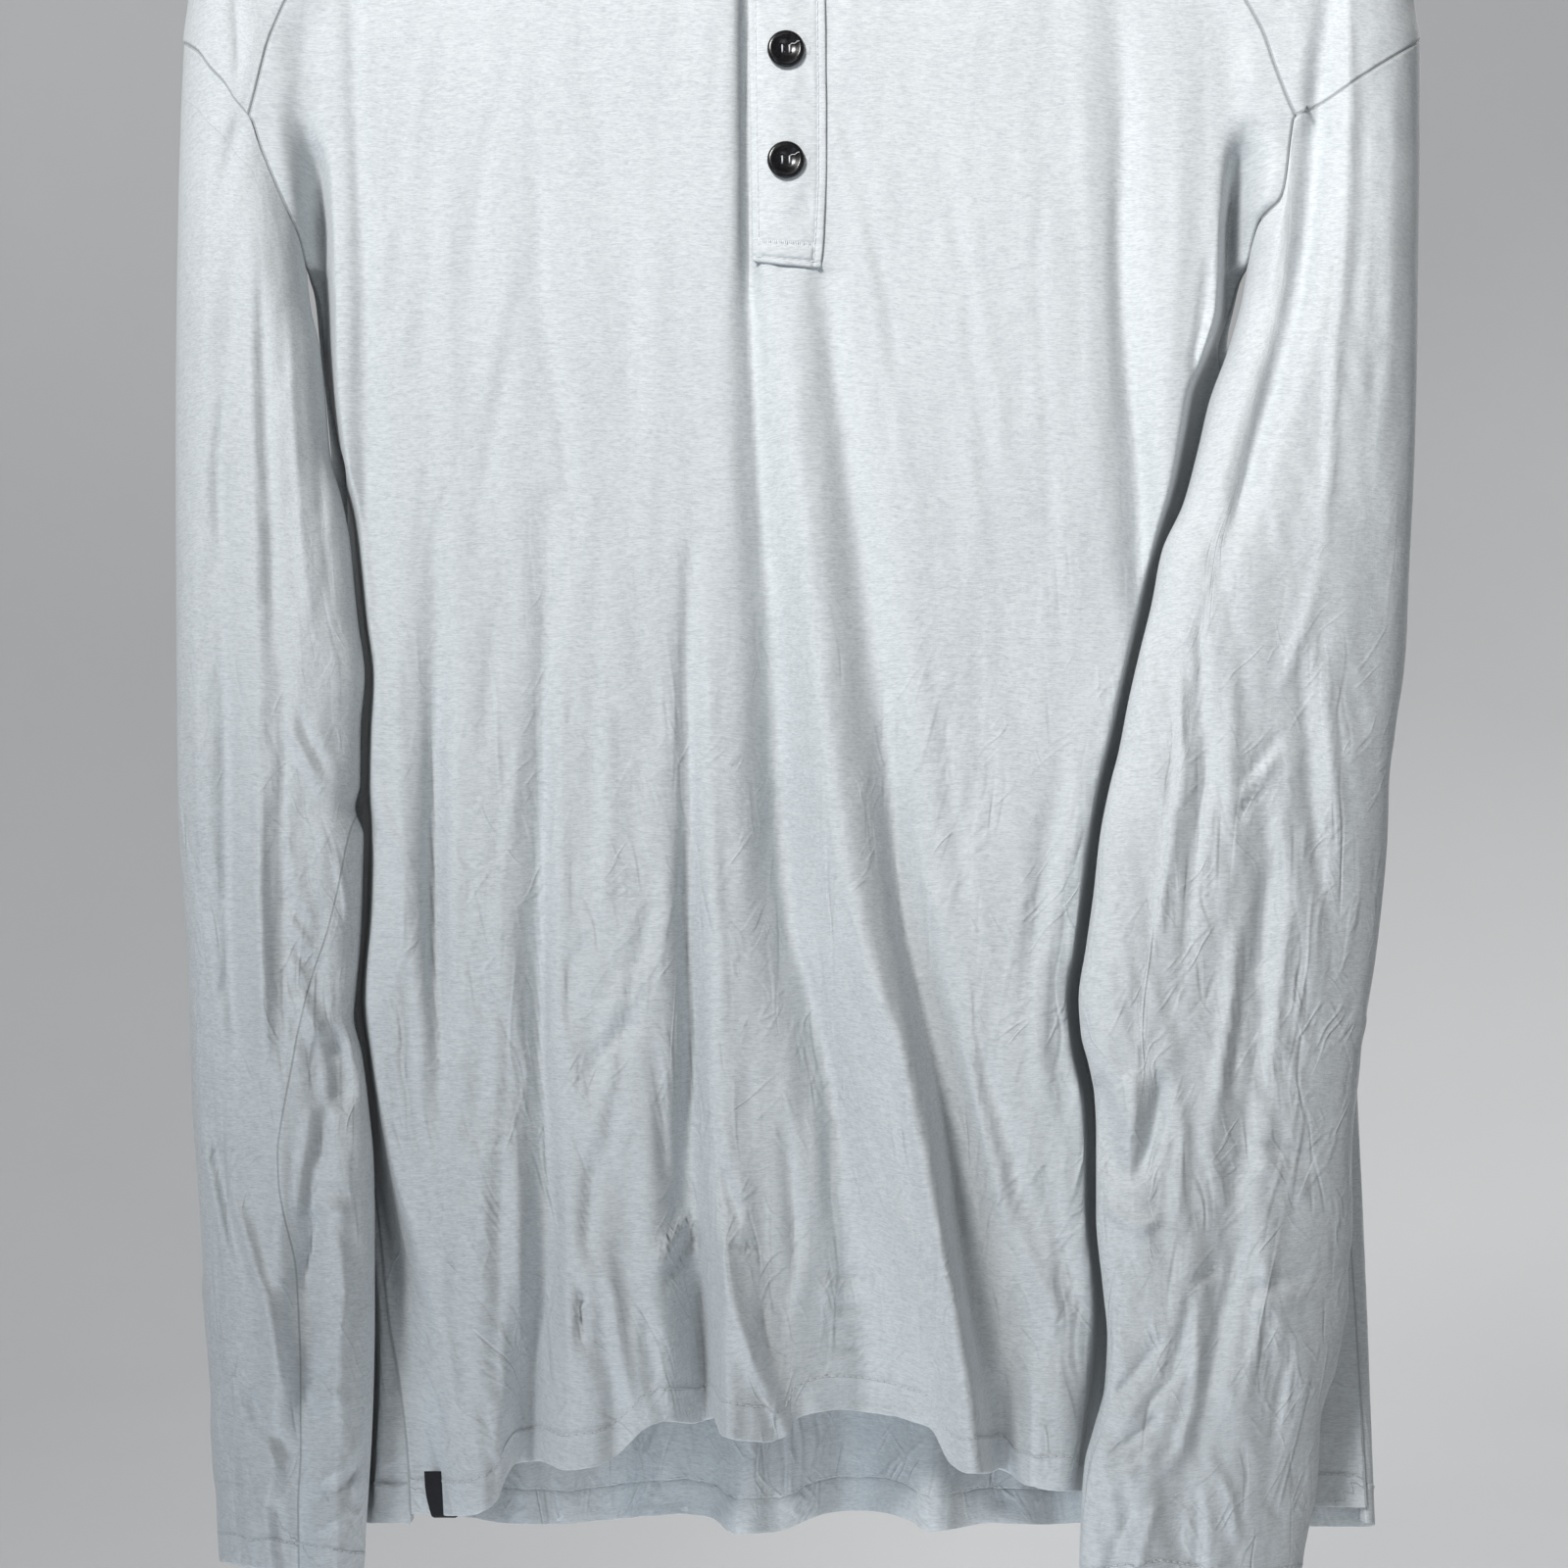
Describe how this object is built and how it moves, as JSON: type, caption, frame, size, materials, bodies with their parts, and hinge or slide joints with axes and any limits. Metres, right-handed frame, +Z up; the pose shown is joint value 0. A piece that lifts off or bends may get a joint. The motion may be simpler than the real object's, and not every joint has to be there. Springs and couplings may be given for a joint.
{
  "type": "henley shirt on a hanger",
  "caption": "Long-sleeved heather jersey henley shirt with a buttoned half placket and raglan shoulders, hanging open on a plain wooden hanger with a metal hook.",
  "frame": {"origin": "the inner top of the hanger's hook, where it sits on its rail", "axes": "+Z up, -Y the way the shirt's front faces, +X to the right as one faces the front"},
  "size_m": [0.49, 0.1084, 0.856],
  "materials": {
    "jersey": "matt heather knit",
    "button": "polished",
    "ribbon": "woven ribbon",
    "wood": "satin varnish",
    "steel": "satin"
  },
  "bodies": {
    "root": {"front": "jersey", "back": "jersey", "shoulder_left": "jersey", "shoulder_right": "jersey", "sleeve_left": "jersey", "sleeve_right": "jersey", "neckband": "jersey", "placket": "jersey", "placket_under": "jersey", "button_1": "button", "button_2": "button", "button_3": "button", "hem_tab": "ribbon", "hanger": "wood", "hook": "steel"}
  },
  "joints": []
}
